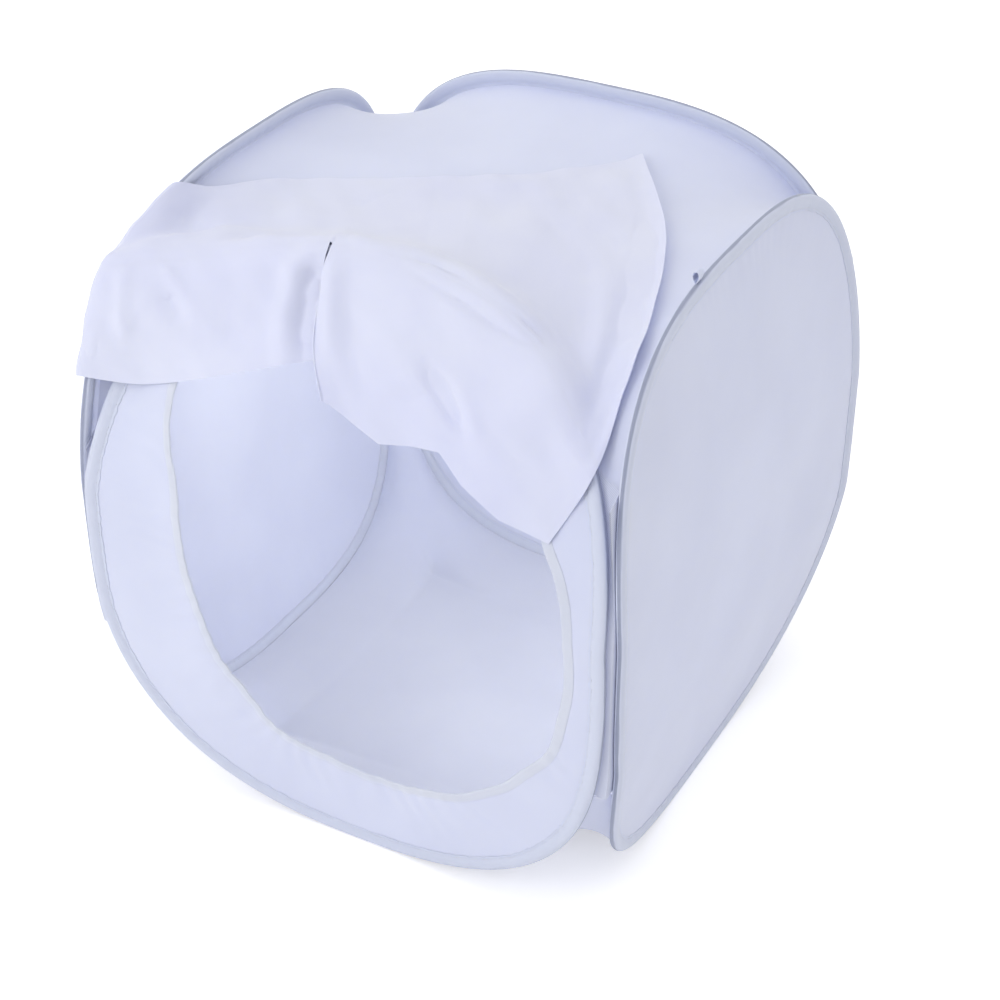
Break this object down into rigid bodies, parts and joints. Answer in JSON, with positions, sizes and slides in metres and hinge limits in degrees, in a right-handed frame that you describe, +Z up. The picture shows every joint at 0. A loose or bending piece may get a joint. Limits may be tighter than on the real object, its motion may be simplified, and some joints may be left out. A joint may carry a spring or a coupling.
{
  "type": "light tent cube",
  "caption": "Pop-up light tent cube of sprung ring walls hinged at their seams, with a cloth top and floor, a bordered front opening and a loose split front cover.",
  "frame": {"origin": "centre of the floor cloth's underside, on the surface that the tent stands on", "axes": "+Z up, -Y out of the open front, +X to the right as seen from the front"},
  "size_m": [0.626, 0.621, 0.6555],
  "materials": {
    "wall_cloth": "thin translucent white nylon",
    "cover_cloth": "soft white cloth, creased",
    "sleeve_tape": "white binding tape",
    "hook_and_loop": "white fastener tape",
    "spring_steel": "blued band",
    "ferrule_metal": "crimped"
  },
  "bodies": {
    "front_wall": {"front_ring": "spring_steel", "front_ferrule": "ferrule_metal", "front_sleeve": "sleeve_tape", "front_border": "wall_cloth", "front_tape_start": "sleeve_tape", "front_tape_end": "sleeve_tape", "top_panel": "wall_cloth", "floor_panel": "wall_cloth", "cover_top": "cover_cloth", "cover_hook_tape": "hook_and_loop", "border_loop_tape": "hook_and_loop"},
    "right_wall": {"right_ring": "spring_steel", "right_ferrule": "ferrule_metal", "right_sleeve": "sleeve_tape", "right_panel": "wall_cloth", "right_tape_start": "sleeve_tape", "right_tape_end": "sleeve_tape", "pull_tab": "sleeve_tape"},
    "back_wall": {"back_ring": "spring_steel", "back_ferrule": "ferrule_metal", "back_sleeve": "sleeve_tape", "back_panel": "wall_cloth", "back_tape_start": "sleeve_tape", "back_tape_end": "sleeve_tape"},
    "left_wall": {"left_ring": "spring_steel", "left_ferrule": "ferrule_metal", "left_sleeve": "sleeve_tape", "left_panel": "wall_cloth", "left_tape_start": "sleeve_tape", "left_tape_end": "sleeve_tape"},
    "cover_left_flap": {"cover_left_half": "cover_cloth"},
    "cover_right_flap": {"cover_right_half": "cover_cloth"}
  },
  "joints": [
    {"name": "right_wall_fold", "type": "hinge", "parent": "front_wall", "child": "right_wall", "pos_m": [0.3, -0.3, 0.29], "axis": [0, 0, 1], "range_deg": [0, 88], "stiffness_Nm_per_rad": 0.15, "deforming": ["front_ring", "front_sleeve", "right_ring", "right_sleeve", "back_ring", "back_sleeve", "left_ring", "left_sleeve", "right_panel", "back_panel", "left_panel", "front_border", "top_panel", "floor_panel", "cover_top", "cover_hook_tape", "border_loop_tape", "pull_tab"]},
    {"name": "left_wall_fold", "type": "hinge", "parent": "front_wall", "child": "left_wall", "pos_m": [-0.3, -0.3, 0.29], "axis": [0, 0, 1], "range_deg": [0, 88]},
    {"name": "back_wall_fold", "type": "hinge", "parent": "right_wall", "child": "back_wall", "pos_m": [0.3, 0.3, 0.29], "axis": [0, 0, 1], "range_deg": [-88, 0]},
    {"name": "cover_left_lift", "type": "hinge", "parent": "front_wall", "child": "cover_left_flap", "pos_m": [-0.16, -0.2, 0.655], "axis": [-1, 0, 0], "range_deg": [0, 110], "deforming": ["cover_left_half"]},
    {"name": "cover_right_lift", "type": "hinge", "parent": "front_wall", "child": "cover_right_flap", "pos_m": [0.1, -0.2, 0.655], "axis": [-1, 0, 0], "range_deg": [0, 110], "deforming": ["cover_right_half"]}
  ],
  "couplings": [
    {"joint": "left_wall_fold", "follows": "right_wall_fold", "ratio": 1},
    {"joint": "back_wall_fold", "follows": "right_wall_fold", "ratio": -1}
  ]
}
